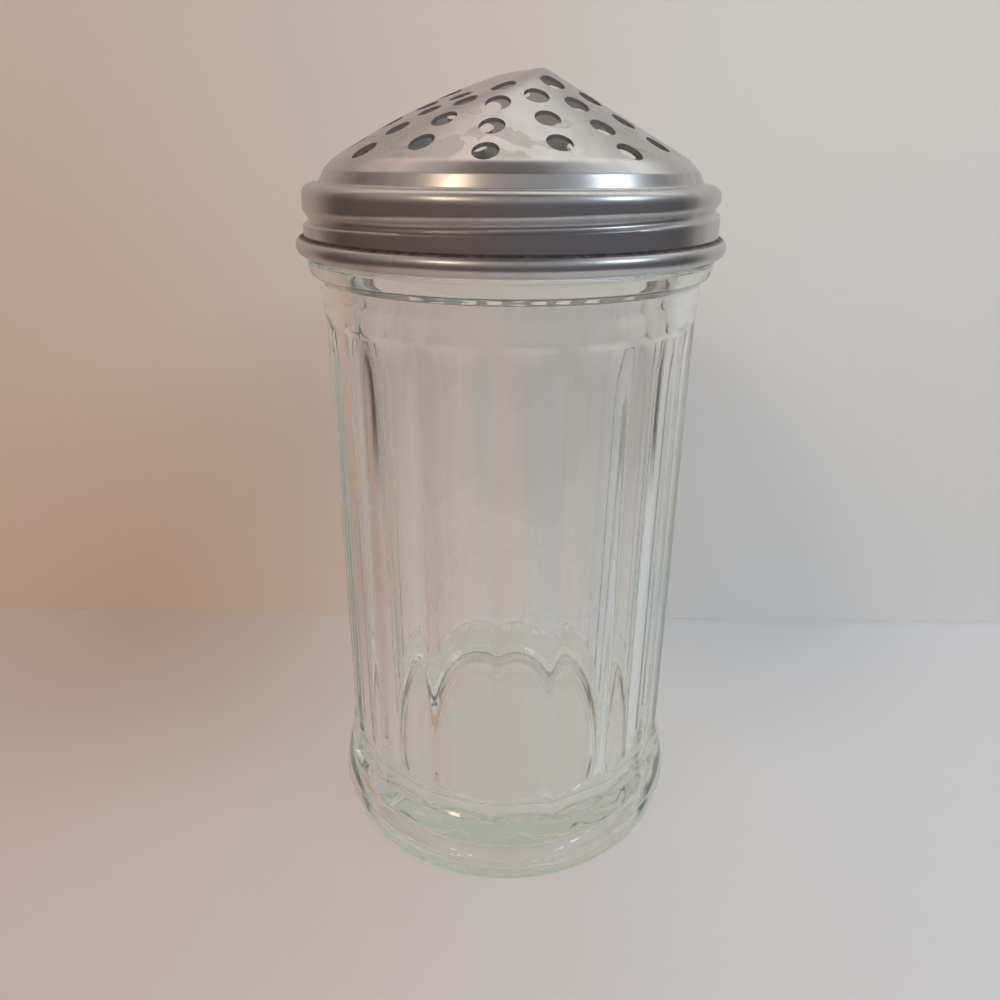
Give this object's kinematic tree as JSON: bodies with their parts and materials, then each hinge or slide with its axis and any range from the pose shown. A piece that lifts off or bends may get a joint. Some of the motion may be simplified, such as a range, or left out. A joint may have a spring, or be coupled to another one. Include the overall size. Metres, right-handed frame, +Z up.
{
  "type": "spice shaker",
  "caption": "Clear fluted glass jar with a screw-on perforated metal cap, for shaking out spice, sugar or grated cheese at the table.",
  "frame": {"origin": "centre of the foot ring, on the table", "axes": "+Z up the shaker's axis to the tip of the cap, -Y to the front, +X to the right"},
  "size_m": [0.0762, 0.0762, 0.1475],
  "materials": {
    "jar_glass": "clear pressed soda-lime glass, faint green in the thick edges",
    "cap_metal": "satin aluminium sheet, brushed round the skirt, with dried water marks",
    "seal_plastic": "soft natural polyethylene"
  },
  "bodies": {
    "jar": {"glass_jar": "jar_glass"},
    "seal": {"rim_seal": "seal_plastic"},
    "cap": {"shaker_cap": "cap_metal"}
  },
  "joints": [
    {"name": "cap_lift", "type": "slide", "parent": "jar", "child": "seal", "axis": [0, 0, 1], "range_m": [0, 0.0127]},
    {"name": "cap_turn", "type": "hinge", "parent": "seal", "child": "cap", "pos_m": [0, 0, 0.1296], "axis": [0, 0, 1], "range_deg": [0, 1080]}
  ],
  "couplings": [
    {"joint": "cap_lift", "follows": "cap_turn", "m_per_rad": 0.0006737}
  ]
}
